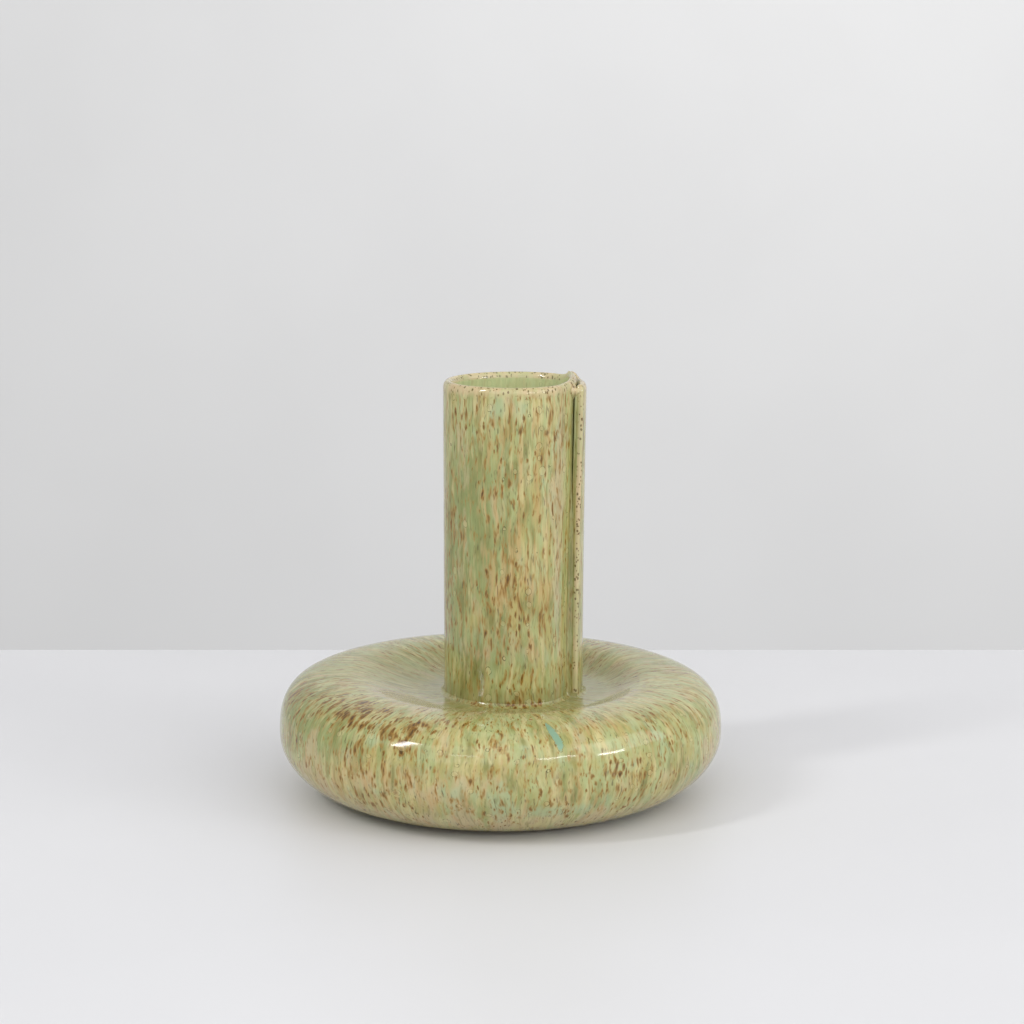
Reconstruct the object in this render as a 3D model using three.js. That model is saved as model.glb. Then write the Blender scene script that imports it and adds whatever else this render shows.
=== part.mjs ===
// Boule vase: a hand-built stoneware vase with a hollow, doughnut-shaped body and a straight tubular neck.
// The body is two walls joined at the widest line over a flat floor slab, with a coil pressed over the joint
// inside. The neck is one slab rolled into a tube whose two ends lap, and it stands in the dished middle of
// the body, where a thin coil is worked round its foot.
// Frame: millimetres, +Z up, origin at the centre of the underside, -Y is the front with the lap on its
// right. Angles are measured round the neck from the front towards the right.

import * as THREE from 'three';

// Body: the widest line, the crown of the ring and the flat that it stands on
const bodyDiameter = 220;
const widestHeight = 29.6;
const crownHeight = 58.2;
const shoulderReach = 32.6;
const bellyReach = 40;
const wallThickness = 6;

// Fullness of the two outer curves: 2 is an ellipse, more is squarer, less is nearer a straight chamfer
const shoulderFullness = 3.1;
const bellyFullness = 1.86;

// The crown leans by hand: lowest at this angle by this much, and as much higher on the other side
const crownLean = 1.4;
const crownLeanAngle = 44;

// Neck: a slab rolled to a tube and set off the middle of the body towards the right
const dishDepth = 8.7;
const neckOffset = 6.4;
const neckRadius = 34.5;
const neckLength = 155.8;
const slabThickness = 4.5;

// Lap of the slab: its outer end drifts with height, its inner end is tucked inside the tube
const lapAngleAtRim = 68;
const lapAngleAtFoot = 63.5;
const innerEndAngle = 112;
const tuckStartAngle = 22;
const tuckEndAngle = 62;

// The inner end is pressed thinner towards its edge, so that it lies smooth against the tube
const innerEndThickness = 3;
const thinningStartAngle = 70;

// How far the outer end of the slab stands proud of the tube, and the angle where that begins
const lapProudAtRim = 1.9;
const lapProudAtFoot = 0.1;
const lapProudStartAngle = 165;

// Rim: it is rounded over a height, the inner end of the slab stands higher, the rim is swollen just
// past that end, and the outer end sinks and has its upper corner rounded off
const lipHeight = 3.4;
const innerEndRise = 3;
const innerRiseStartAngle = 45;
const outerEndFall = 1;
const outerFallEndAngle = 150;
const swellingRise = 2.4;
const swellingAngle = 119;
const swellingSpread = 8;
const lapCornerRadius = 2.4;

// Joints: the line of slip between two pieces, the wall bevel, and the floor slab let into the lower wall
const slipGap = 0.3;
const wallBevelRise = 3;
const floorThickness = 6;
const floorBevelRun = 5;
const footBandWidth = 8;
const seatLedge = 2.7;
const seatMargin = 5.2;

// Coils: the one pressed over the wall joint inside, and the fillet round the foot of the neck
const jointCoilHeight = 12;
const jointCoilDepth = 4.5;
const footCoilHeight = 2.4;
const footCoilReach = 2.4;
const footCoilClimb = 7;

// Facets
const bodySegments = 64;
const footCoilSegments = 72;
const curveSteps = 8;
const innerCurveSteps = 8;
const dishSteps = 7;
const slabStations = 60;
const lipSteps = 6;
const neckLevels = 4;
const coilSteps = 5;

// Sizes that follow from the ones above
const bodyRadius = bodyDiameter / 2;
const crownRadius = bodyRadius - shoulderReach;
const footRadius = bodyRadius - bellyReach;
const floorRadius = footRadius - footBandWidth;
const seatHeight = crownHeight - dishDepth;
const rimHeight = seatHeight + neckLength;
const levelHeight = widestHeight + wallBevelRise;
const seatFlatRadius = neckRadius + lapProudAtFoot + slipGap + footCoilReach + seatMargin;
const seatHoleRadius = neckRadius - 2 * slabThickness - slipGap - seatLedge;
const fullTurn = 360;

const { clamp, degToRad, lerp, radToDeg } = THREE.MathUtils;

function ease(low, high, value) {
  const share = clamp((value - low) / (high - low), 0, 1);
  return share * share * (3 - 2 * share);
}

// One quarter of a superellipse from the widest line towards the crown, or down to the foot
function quarterCurve(quarter, steps) {
  const points = [];
  for (let step = 0; step <= steps; step += 1) {
    const angle = (Math.PI / 2) * (step / steps);
    const across = Math.max(Math.cos(angle), 0) ** (2 / quarter.fullness);
    const along = Math.sin(angle) ** (2 / quarter.fullness);
    const height = widestHeight + quarter.rise * along;
    points.push(new THREE.Vector2(quarter.centre + quarter.reach * across, height));
  }
  return points;
}

// The quarter curves of the upper and lower walls, drawn in by the depth under the surface
function upperQuarter(depth) {
  return {
    centre: crownRadius,
    reach: shoulderReach - depth,
    rise: crownHeight - widestHeight - depth,
    fullness: shoulderFullness,
  };
}

function lowerQuarter(depth) {
  return {
    centre: footRadius,
    reach: bellyReach - depth,
    rise: depth - widestHeight,
    fullness: bellyFullness,
  };
}

// Radius of the inner face of the walls at a height
function innerWallRadius(height) {
  const rise = height - widestHeight;
  const quarter = rise < 0 ? lowerQuarter(wallThickness) : upperQuarter(wallThickness);
  const share = Math.min(rise / quarter.rise, 1);
  return quarter.centre + quarter.reach * (1 - share ** quarter.fullness) ** (1 / quarter.fullness);
}

// Radius of the bevelled edge of the floor slab at a height
function floorEdgeRadius(height) {
  return floorRadius + floorBevelRun * (height / floorThickness - 1);
}

// Height of the dish: flat at the seat, then one even wave up to the crown
function dishHeight(radius) {
  const share = clamp((radius - seatFlatRadius) / (crownRadius - seatFlatRadius), 0, 1);
  return seatHeight + (crownHeight - seatHeight) * (1 - Math.cos(Math.PI * share)) / 2;
}

// A closed section turned round the Z axis
function turnedSolid(section, segments) {
  const geometry = new THREE.LatheGeometry([...section, section[0].clone()], segments);
  return geometry.rotateX(Math.PI / 2);
}

// Moves every corner of a geometry to where a function of it says
function reshape(geometry, move) {
  const position = geometry.attributes.position;
  const corner = new THREE.Vector3();
  for (let index = 0; index < position.count; index += 1) {
    corner.fromBufferAttribute(position, index);
    move(corner);
    position.setXYZ(index, corner.x, corner.y, corner.z);
  }
  geometry.computeVertexNormals();
  return geometry;
}

// Slides the dish to the axis of the neck and leans the crown, with the seat and the joint kept level
function shapeByHand(corner) {
  const radius = Math.hypot(corner.x, corner.y);
  const outward = ease(seatFlatRadius, crownRadius, radius);
  const upward = clamp((corner.z - levelHeight) / (crownHeight - levelHeight), 0, 1);
  const angle = radToDeg(Math.atan2(corner.x, -corner.y));
  corner.z -= crownLean * Math.cos(degToRad(angle - crownLeanAngle)) * outward * upward;
  corner.x += neckOffset * (1 - outward);
}

// Share of the way from the seat up to the rim
function neckShare(height) {
  return (Math.min(height, rimHeight) - seatHeight) / neckLength;
}

// Angle of the outer end of the slab at a height
function lapAngle(height) {
  return lerp(lapAngleAtFoot, lapAngleAtRim, neckShare(height));
}

// Radius of the tube at an angle: round, but standing proud towards the outer end of the slab
function tubeRadius(angle, height) {
  const proud = lerp(lapProudAtFoot, lapProudAtRim, neckShare(height) ** 2);
  const nearness = (lapProudStartAngle - angle) / (lapProudStartAngle - lapAngleAtRim);
  return neckRadius + proud * clamp(nearness, 0, 1);
}

// Outer radius of the slab at an angle along its whole length: past one turn it tucks in under its outer end
function slabRadius(angle, height) {
  if (angle < fullTurn) {
    return tubeRadius(angle, height);
  }
  const under = angle - fullTurn;
  const tucked = tubeRadius(Math.max(under, tuckEndAngle), height) - slabThickness - slipGap;
  return lerp(neckRadius, tucked, ease(tuckStartAngle, tuckEndAngle, under));
}

// Height of the rim at an angle along the slab
function slabTop(angle) {
  const outerFall = outerEndFall * (1 - ease(lapAngleAtRim, outerFallEndAngle, angle));
  const innerRise = innerEndRise * ease(fullTurn + innerRiseStartAngle, fullTurn + innerEndAngle, angle);
  const swelling = swellingRise * Math.exp(-(((angle - swellingAngle) / swellingSpread) ** 2));
  const fromOuterEnd = degToRad(angle - lapAngleAtRim) * neckRadius;
  const intoCorner = Math.max(lapCornerRadius - fromOuterEnd, 0);
  const cornerDrop = lapCornerRadius - Math.sqrt(lapCornerRadius ** 2 - intoCorner ** 2);
  return rimHeight - outerFall + swelling + innerRise - cornerDrop;
}

function neckPoint(angle, radius, height) {
  const turn = degToRad(angle);
  return new THREE.Vector3(neckOffset + radius * Math.sin(turn), -radius * Math.cos(turn), height);
}

// Thickness of the slab at an angle along it
function slabDepth(angle) {
  const thinning = ease(fullTurn + thinningStartAngle, fullTurn + innerEndAngle, angle);
  return lerp(slabThickness, innerEndThickness, thinning);
}

// One upright section of the slab: up the outer face, over the rounded lip and down the inner face
function slabSection(share) {
  const lastAngle = fullTurn + innerEndAngle;
  const angleAtRim = lerp(lapAngleAtRim, lastAngle, share);
  const thickness = slabDepth(angleAtRim);
  const lipRadius = thickness / 2;
  const springLine = slabTop(angleAtRim) - lipHeight;
  const points = [];
  const place = (height, depth) => {
    const angle = lerp(lapAngle(height), lastAngle, share);
    points.push(neckPoint(angle, slabRadius(angle, height) - depth, height));
  };
  for (let level = 0; level <= neckLevels; level += 1) {
    place(lerp(seatHeight, springLine, level / neckLevels), 0);
  }
  for (let step = 1; step < lipSteps; step += 1) {
    const turn = Math.PI * (step / lipSteps);
    place(springLine + lipHeight * Math.sin(turn), lipRadius * (1 - Math.cos(turn)));
  }
  for (let level = neckLevels; level >= 0; level -= 1) {
    place(lerp(seatHeight, springLine, level / neckLevels), thickness);
  }
  return points;
}

// A solid through upright sections of like points, with a strip of faces across each end
function loftedSolid(sections) {
  const count = sections[0].length;
  const faces = [];
  const quad = (a, b, c, d) => faces.push(a, b, c, a, c, d);
  for (let section = 0; section + 1 < sections.length; section += 1) {
    const here = section * count;
    const there = here + count;
    for (let index = 0; index < count; index += 1) {
      const next = (index + 1) % count;
      quad(here + index, there + index, there + next, here + next);
    }
  }
  const last = (sections.length - 1) * count;
  for (let index = 0; index < Math.floor(count / 2) - 1; index += 1) {
    const mirror = count - 1 - index;
    quad(index, index + 1, mirror - 1, mirror);
    quad(last + mirror, last + mirror - 1, last + index + 1, last + index);
  }
  if (count % 2 === 1) {
    const middle = (count - 1) / 2;
    faces.push(middle - 1, middle, middle + 1);
    faces.push(last + middle + 1, last + middle, last + middle - 1);
  }
  const geometry = new THREE.BufferGeometry();
  const positions = sections.flat().flatMap((point) => point.toArray());
  geometry.setAttribute('position', new THREE.Float32BufferAttribute(positions, 3));
  geometry.setIndex(faces);
  geometry.computeVertexNormals();
  return geometry;
}

// Floor slab: a flat disc with a bevelled edge
function makeFloorSlab() {
  const section = [
    new THREE.Vector2(0, 0),
    new THREE.Vector2(floorEdgeRadius(0), 0),
    new THREE.Vector2(floorEdgeRadius(floorThickness), floorThickness),
    new THREE.Vector2(0, floorThickness),
  ];
  return new THREE.LatheGeometry(section, bodySegments).rotateX(Math.PI / 2);
}

// Lower wall: from the bevel round the floor slab, out to the bevel at the widest line and back inside
function makeLowerWall() {
  const bevelTop = widestHeight + wallBevelRise - slipGap / 2;
  const section = [
    new THREE.Vector2(floorEdgeRadius(0) + slipGap, 0),
    ...quarterCurve(lowerQuarter(0), curveSteps).slice(1).reverse(),
    new THREE.Vector2(bodyRadius, widestHeight - slipGap / 2),
    new THREE.Vector2(innerWallRadius(bevelTop), bevelTop),
    ...quarterCurve(lowerQuarter(wallThickness), innerCurveSteps),
    new THREE.Vector2(floorEdgeRadius(wallThickness) + slipGap, wallThickness),
  ];
  return turnedSolid(section, bodySegments);
}

// Upper wall: from the bevel at the widest line over the crown, down the dish and back under it
function makeUpperWall() {
  const bevelTop = widestHeight + wallBevelRise + slipGap / 2;
  const dish = [];
  for (let step = 1; step <= dishSteps; step += 1) {
    const radius = lerp(crownRadius, seatFlatRadius, step / dishSteps);
    dish.push(new THREE.Vector2(radius, dishHeight(radius)));
  }
  const underDish = dish.map((point) => new THREE.Vector2(point.x, point.y - wallThickness)).reverse();
  const innerCurve = quarterCurve(upperQuarter(wallThickness), innerCurveSteps).reverse();
  const section = [
    new THREE.Vector2(bodyRadius, widestHeight + slipGap / 2),
    ...quarterCurve(upperQuarter(0), curveSteps).slice(1),
    ...dish,
    new THREE.Vector2(seatHoleRadius, seatHeight),
    new THREE.Vector2(seatHoleRadius, seatHeight - wallThickness),
    ...underDish,
    ...innerCurve.filter((point) => point.y > bevelTop + slipGap),
    new THREE.Vector2(innerWallRadius(bevelTop), bevelTop),
  ];
  return reshape(turnedSolid(section, bodySegments), shapeByHand);
}

// Coil pressed over the wall joint inside the body: its back follows the wall, its face is rounded
function makeJointCoil() {
  const middle = widestHeight + wallBevelRise / 2;
  const section = [];
  const place = (height, depth) => {
    section.push(new THREE.Vector2(innerWallRadius(height) - slipGap - depth, height));
  };
  for (let step = 0; step <= coilSteps; step += 1) {
    place(middle + jointCoilHeight * (step / coilSteps - 0.5), 0);
  }
  for (let step = 1; step < coilSteps; step += 1) {
    const turn = Math.PI * (step / coilSteps);
    place(middle + (jointCoilHeight / 2) * Math.cos(turn), jointCoilDepth * Math.sin(turn));
  }
  return turnedSolid(section, bodySegments);
}

// Inner radius of the foot coil: it follows the tube, dips with the tuck and climbs over the outer end
function footCoilRadius(angle) {
  const overLap = tubeRadius(angle, seatHeight);
  if (angle > lapAngleAtFoot) {
    return overLap + slipGap;
  }
  const underLap = slabRadius(fullTurn + angle, seatHeight);
  const climbEnd = lapAngleAtFoot - 1.5 * (fullTurn / footCoilSegments);
  const climb = ease(climbEnd - footCoilClimb, climbEnd, angle);
  return lerp(underLap, overLap, climb) + slipGap;
}

// Coil worked into a hollow fillet round the foot of the neck, standing on the flat of the dish
function makeFootCoil() {
  const section = [new THREE.Vector2(neckRadius, seatHeight)];
  for (let step = 0; step <= coilSteps; step += 1) {
    const turn = (Math.PI / 2) * (step / coilSteps);
    const across = neckRadius + footCoilReach * (1 - Math.sin(turn));
    section.push(new THREE.Vector2(across, seatHeight + footCoilHeight * (1 - Math.cos(turn))));
  }
  return reshape(turnedSolid(section, footCoilSegments), (corner) => {
    const angle = (radToDeg(Math.atan2(corner.x, -corner.y)) + fullTurn) % fullTurn;
    const outward = Math.hypot(corner.x, corner.y) - neckRadius;
    corner.copy(neckPoint(angle, footCoilRadius(angle) + outward, corner.z));
  });
}

// Neck: the slab lofted from its outer end, round the tube, to its tucked inner end
function makeNeckSlab() {
  const sections = [];
  for (let station = 0; station <= slabStations; station += 1) {
    sections.push(slabSection(station / slabStations));
  }
  return loftedSolid(sections);
}

const glazedStoneware = new THREE.MeshStandardMaterial({ color: '#a9ad7f', roughness: 0.18, metalness: 0 });
const bareStoneware = new THREE.MeshStandardMaterial({ color: '#c9b692', roughness: 0.85, metalness: 0 });

const vase = new THREE.Group();

function addPiece(name, geometry, material) {
  const mesh = new THREE.Mesh(geometry, material);
  mesh.name = name;
  vase.add(mesh);
}

addPiece('floor_slab', makeFloorSlab(), bareStoneware);
addPiece('lower_wall', makeLowerWall(), glazedStoneware);
addPiece('upper_wall', makeUpperWall(), glazedStoneware);
addPiece('joint_coil', makeJointCoil(), bareStoneware);
addPiece('neck_slab', makeNeckSlab(), glazedStoneware);
addPiece('foot_coil', makeFootCoil(), glazedStoneware);

export default vase;
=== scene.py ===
"""Boule vase: hand-worked clay pieces with a runny, speckled glaze, on a pale table in soft studio light."""

import bmesh
import bpy
import numpy as np
from bpy.props import FloatProperty, FloatVectorProperty, IntProperty, PointerProperty
from bpy.types import Operator, Panel, PropertyGroup
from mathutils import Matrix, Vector


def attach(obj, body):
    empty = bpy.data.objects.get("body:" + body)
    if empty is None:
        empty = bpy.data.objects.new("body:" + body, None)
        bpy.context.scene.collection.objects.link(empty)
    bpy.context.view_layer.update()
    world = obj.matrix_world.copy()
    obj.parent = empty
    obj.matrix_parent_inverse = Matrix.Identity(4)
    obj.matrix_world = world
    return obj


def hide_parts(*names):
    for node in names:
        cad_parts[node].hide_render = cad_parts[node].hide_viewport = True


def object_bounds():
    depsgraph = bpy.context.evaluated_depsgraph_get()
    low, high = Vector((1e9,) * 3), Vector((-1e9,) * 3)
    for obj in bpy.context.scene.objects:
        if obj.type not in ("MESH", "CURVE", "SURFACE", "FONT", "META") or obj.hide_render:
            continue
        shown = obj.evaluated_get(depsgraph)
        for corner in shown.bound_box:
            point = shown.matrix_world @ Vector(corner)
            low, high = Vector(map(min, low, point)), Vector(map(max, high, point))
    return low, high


bl_info = {
    "name": "Boule Vase",
    "version": (1, 0, 0),
    "blender": (4, 5, 0),
    "location": "View3D > Sidebar > Boule Vase",
    "description": "Makes a hand-built vase with a ring-shaped body, a rolled neck and a speckled runny glaze",
    "category": "Add Mesh",
}

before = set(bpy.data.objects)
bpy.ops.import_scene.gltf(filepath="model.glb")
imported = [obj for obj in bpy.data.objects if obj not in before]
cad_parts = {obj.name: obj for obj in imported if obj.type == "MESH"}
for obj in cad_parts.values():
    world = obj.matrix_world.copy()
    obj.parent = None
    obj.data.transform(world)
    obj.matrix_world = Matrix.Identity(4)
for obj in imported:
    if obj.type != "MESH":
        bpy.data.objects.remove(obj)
CAD_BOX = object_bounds()
BODY = "root"
BODY_WIDTH = CAD_BOX[1].x - CAD_BOX[0].x
FULL_TURN = 2 * np.pi
MM = 0.001

# Radius of the circle that carries the pattern round the ring, and how much finer it is along the profile
PATTERN_RADIUS = 95 * MM
PATTERN_SQUEEZE = 1.3

# Rows of the skin up to the widest line, from there to the seat, over the flat and up the coil
LOWER_ROWS, UPPER_ROWS, SEAT_ROWS, COIL_ROWS = 46, 74, 4, 11

# Points up each face of the neck, steps over its lip, and its sections for each step round the body
FACE_POINTS, LIP_STEPS, STATIONS_PER_SEGMENT = 61, 12, 0.85


# Properties


def length(label, words, millimetres):
    """A size that the user can change, given in millimetres and kept in metres."""
    return FloatProperty(name=label, description=words, default=millimetres / 1000, subtype="DISTANCE")


def angle(label, words, degrees):
    """An angle that the user can change, given in degrees and kept in radians."""
    return FloatProperty(name=label, description=words, default=float(np.radians(degrees)), subtype="ANGLE")


def amount(label, words, value):
    """A plain number that the user can change."""
    return FloatProperty(name=label, description=words, default=value)


def linear(hex_colour):
    """Linear red, green and blue of an sRGB colour written as #rrggbb."""
    shares = np.array([int(hex_colour[place : place + 2], 16) for place in (1, 3, 5)]) / 255
    low = shares / 12.92
    high = ((shares + 0.055) / 1.055) ** 2.4
    return tuple(float(share) for share in np.where(shares <= 0.04045, low, high))


def colour(label, words, hex_colour):
    """A colour that the user can change."""
    return FloatVectorProperty(
        name=label, description=words, default=linear(hex_colour), subtype="COLOR", size=3, min=0, max=1
    )


class BodySizes(PropertyGroup):
    """Sizes of the ring-shaped body"""

    diameter: length("Diameter", "Width over the widest line", BODY_WIDTH * 1000)
    widest_height: length("Widest line", "Height of the widest line over the table", 29.6)
    crown_height: length("Crown height", "Height of the crown of the ring", 58.2)
    shoulder_reach: length("Shoulder reach", "From the crown out to the widest line", 32.6)
    belly_reach: length("Belly reach", "From the foot out to the widest line", 40)
    shoulder_fullness: amount("Shoulder fullness", "Power of the upper outer curve, where 2 is an ellipse", 3.1)
    belly_fullness: amount("Belly fullness", "Power of the lower outer curve, where 2 is an ellipse", 1.86)
    wall: length("Wall", "Thickness of the walls", 6)
    crown_lean: length("Crown lean", "How much lower the crown lies on its low side", 1.4)
    crown_lean_angle: angle("Low side", "Where the crown is lowest, from the front to the right", 44)
    dish_depth: length("Dish depth", "From the crown down to the seat of the neck", 8.7)
    seat_radius: length("Seat radius", "Where the flat under the neck ends", 42.5)
    hole_radius: length("Hole radius", "Hole in the seat under the neck", 22.5)
    floor_radius: length("Floor radius", "Top edge of the floor slab", 62)
    floor_thickness: length("Floor thickness", "Thickness of the floor slab", 6)
    floor_bevel: length("Floor bevel", "How far the edge of the floor slab slopes in", 5)
    joint_rise: length("Joint rise", "How far the bevelled wall joint climbs to its inner edge", 3)
    hand_waves: length("Hand waves", "How deep the long unevenness of the hand-built wall is", 0.35)
    rub: length("Rub", "Width over which the curves are rubbed smooth", 2.5)


class NeckSizes(PropertyGroup):
    """Sizes of the rolled neck and the coil at its foot"""

    offset: length("Offset", "From the middle of the body to the middle of the neck", 6.4)
    radius: length("Radius", "Outer radius of the tube away from the lap", 34.5)
    height: length("Height", "From the seat to the rim", 155.8)
    slab: length("Slab", "Thickness of the rolled slab", 4.5)
    thin_end: length("Thin end", "Thickness that the inner end is pressed to", 3)
    thinning_start: angle("Thinning start", "Where the inner layer begins to thin", 70)
    slip: length("Slip", "Line of slip between the two layers of the lap", 0.3)
    lap_angle_rim: angle("Lap at rim", "Outer end of the slab at the rim", 68)
    lap_angle_foot: angle("Lap at foot", "Outer end of the slab at the foot", 63.5)
    inner_end: angle("Inner end", "Inner end of the slab, inside the tube", 112)
    tuck_start: angle("Tuck start", "Where the inner layer begins to tuck in", 22)
    tuck_end: angle("Tuck end", "Where the inner layer is tucked in", 62)
    proud_rim: length("Proud at rim", "How far the outer end stands proud at the rim", 1.9)
    proud_foot: length("Proud at foot", "How far the outer end stands proud at the foot", 0.1)
    proud_start: angle("Proud start", "Where the tube begins to stand proud", 165)
    inner_rise: length("Inner end rise", "How much higher the inner end stands", 3)
    inner_rise_start: angle("Inner rise start", "Where the inner layer begins to rise", 45)
    outer_fall: length("Outer end fall", "How much lower the outer end stands", 1)
    outer_fall_end: angle("Outer fall end", "Where the rim is level again", 150)
    swelling_rise: length("Swelling rise", "How far the rim is swollen past the inner end", 2.4)
    swelling_angle: angle("Swelling angle", "Where the rim is swollen most", 119)
    swelling_spread: angle("Swelling spread", "Half width of that swelling", 8)
    lip: length("Lip", "Height over which the rim is rounded", 3.4)
    lap_corner: length("Lap corner", "Radius of the upper corner of the outer end", 2.4)
    end_round: length("End rounding", "Radius of the rounded ends of the slab", 1.3)
    crevice: length("Crevice", "How wide the lap gapes near the rim", 0.25)
    bead: length("Glaze bead", "How far the glaze in the crevice covers the cut end", 2)
    bead_top: length("Bead top", "Where the glaze in the crevice ends, below the rim", 40)
    plug: length("Glaze plug", "How far the glaze closes the lap at the rim", 4)
    plug_middle: length("Plug middle", "Middle of that plug, below the rim", 4.2)
    plug_reach: length("Plug reach", "How fast it narrows over and under its middle", 2.2)
    fillet: length("Fillet", "Radius of the coil worked round the foot", 2.4)
    hand_waves: length("Hand waves", "How deep the unevenness of the rolled slab is", 0.25)


class GlazeColours(PropertyGroup):
    """Colours of the glaze and the clay"""

    sage: colour("Sage", "Ground of the glaze", "#969a60")
    celadon: colour("Celadon", "Thick, pale green glaze", "#a8ae79")
    straw: colour("Straw", "Yellow runs", "#af9e5f")
    olive: colour("Olive", "Dark runs", "#716f36")
    moss: colour("Moss", "Wide green runs", "#869159")
    cream: colour("Cream", "Pale runs", "#ccbf8b")
    pink_beige: colour("Pink beige", "Thin glaze over the clay", "#b9a680")
    mint: colour("Mint", "Blue-green clouds", "#a0af88")
    tan: colour("Tan", "Warm band low on the ring", "#b69561")
    amber: colour("Amber", "Stain round the specks", "#997431")
    rust: colour("Rust", "Iron specks at their rim", "#765216")
    speck: colour("Speck", "Iron specks at their heart", "#412c09")
    ink: colour("Ink", "Finest dots and ring marks", "#403f14")
    turquoise: colour("Turquoise", "Single drop of copper glaze", "#749c85")
    bisque: colour("Bisque", "Edges where the glaze ran thin", "#cab38e")
    # Partly thick glaze pooled in hollows and partly painted shade: it darkens the dish, the corner at the
    # neck's foot and the crevice of the lap
    pool: colour("Pool", "Thick glaze in hollows", "#7a7945")
    # Painted light: a pale green laid over the inner wall of the neck, stronger towards the rim, for light
    # falling into the bore
    lining: colour("Lining", "Thick pale glaze inside the neck", "#c6d1a0")
    clay: colour("Clay", "Bare fired stoneware", "#c9b692")


class StudioSettings(PropertyGroup):
    """Camera, table and light"""

    camera_distance: length("Camera distance", "From the middle of the body, along the table", 1230.2)
    camera_height: length("Camera height", "Over the table", 359.7)
    camera_side: length("Camera side", "To the right of the middle of the body", 5.7)
    camera_tilt: angle("Camera tilt", "How far the camera looks down", 10.14)
    focal_length: length("Focal length", "On a sensor 36 mm wide", 89.3)
    table_edge: length("Table edge", "Far edge of the table behind the vase", 297.7)
    wall_distance: length("Wall distance", "Backdrop behind the vase", 1500)
    room_light: amount("Room light", "Strength of the even light from all sides", 0.64)
    segments: IntProperty(name="Segments", description="Steps round the body and neck", default=480)


# Where the glaze shows more of one thing, each a field that its material reads; the pale band low on the ring is
# painted light. On the
# ring: degrees from the front to the right, millimetres along the profile up from the widest line, half width
# and half length in millimetres, and strength
RING_PLACES = {
    "iron": [
        (-76, 26, 22, 12, 0.7), (-52, 34, 26, 10, 1.0), (-38, 33, 16, 10, 1.0), (-26, 28, 16, 9, 0.9),
        (-10, 34, 18, 5, 0.5), (47, 29, 12, 9, 0.6), (28, 4, 18, 10, 0.4), (-30, 4, 30, 14, 0.4),
        (155, 32, 34, 14, 0.6), (215, 14, 26, 20, 0.6), (-12, 80, 26, 4, 1.0), (12.4, 28, 1.2, 4, 1.0),
    ],
    "green": [(-65, 20, 42, 15, 1.0), (-48, 12, 20, 8, 0.6), (-100, 26, 30, 20, 0.6), (185, 20, 44, 18, 0.8)],
    "tan": [
        (-36, 4, 24, 8, 1.0), (-40, -18, 60, 10, 0.3), (-15, -26, 200, 8, 0.6), (-14, -5, 14, 7, 0.9),
        (-45, -9, 24, 10, 0.7), (30, 32, 12, 8, 0.8), (18, -6, 10, 8, 0.7), (45, -8, 16, 8, 0.7),
        (150, -6, 30, 12, 0.7),
    ],
    "mint": [
        (-5, -3, 16, 5, 0.9), (-32, 19, 9, 4, 0.8), (20, -13, 20, 5, 0.9), (2, -11, 14, 5, 0.8),
        # The mint spot at 38 degrees, to the right of the highlight on the ring's right shoulder, is partly
        # painted sheen round that highlight
        (38, 22, 14, 10, 0.7), (130, 34, 30, 16, 0.6),
    ],
    "blush": [
        (-62, 76, 16, 14, 0.8), (85, 76, 20, 14, 0.7), (-80, -8, 26, 10, 0.7), (75, -1, 24, 12, 0.7),
        (-45, -3, 40, 12, 0.5), (-15, -3, 24, 10, 0.5), (-15, -23, 130, 10, 0.6), (0, 62, 200, 14, 0.6),
    ],
    "drop": [(13.6, 34, 1.1, 5, 1.0), (14.4, 28, 1.5, 5, 1.0), (15.3, 21.8, 1.6, 4.5, 1.0)],
    # The pale band all round the bottom of the ring is painted light, standing for light thrown up from the
    # table
    "pale": [(-15, -25, 200, 9, 1.0), (-25, -4, 24, 10, 0.3)],
}

# The same on the neck, with millimetres over the seat in place of those along the profile
NECK_PLACES = {
    "iron": [
        (-5, 1, 28, 2.5, 1.0), (-4, 62, 9, 10, 1.0), (9, 65, 5, 4, 0.8), (-29, 60, 4, 6, 0.7),
        (-14, 84, 3, 7, 0.8), (-12, 104, 3, 6, 0.8), (-24, 110, 3, 7, 0.9), (-4, 42, 9, 9, 0.9),
        (20, 44, 10, 8, 0.5), (-30, 141, 14, 8, 0.7), (10, 138, 10, 9, 0.5), (30, 130, 6, 10, 0.7),
        (150, 90, 16, 24, 0.7),
    ],
    "green": [
        (0, 70, 70, 70, 0.2), (-35, 105, 16, 26, 1.0), (-30, 60, 12, 18, 0.7), (-60, 60, 10, 40, 0.8),
        (-12, 28, 14, 14, 0.6),
    ],
    "tan": [
        (0, 75, 60, 70, 0.3), (-2, 95, 12, 36, 0.6), (0, 60, 12, 16, 0.8), (30, 134, 6, 10, 0.7),
        (16, 30, 14, 10, 0.6),
    ],
    "mint": [(27, 107, 5, 14, 1.0), (-50, 90, 5, 20, 0.6), (-20, 72, 5, 12, 0.6), (0, 146, 20, 5, 0.5)],
    "blush": [(45, 85, 8, 70, 0.35), (39, 92, 6, 24, 0.7), (-74, 100, 5, 40, 0.5), (190, 110, 12, 30, 0.6)],
    "drop": [],
    "pale": [(0, 147, 200, 6, 0.4)],
}


# Shapes


def eased(low, high, value):
    """Smooth step: 0 below low, 1 above high, and 3s² - 2s³ of the share s between them."""
    share = np.clip((value - low) / (high - low), 0, 1)
    return share**2 * (3 - 2 * share)


def mixed(first, second, share):
    """first + (second - first) times share."""
    return first + (second - first) * share


def line_lengths(line):
    """Length along a line from its first point to each point."""
    return np.concatenate([[0], np.cumsum(np.linalg.norm(np.diff(line, axis=0), axis=1))])


def evenly(line, count):
    """The same line as count points at even steps."""
    lengths = line_lengths(line)
    steps = np.linspace(0, lengths[-1], count)
    return np.stack([np.interp(steps, lengths, line[:, axis]) for axis in (0, 1)], axis=1)


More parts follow.
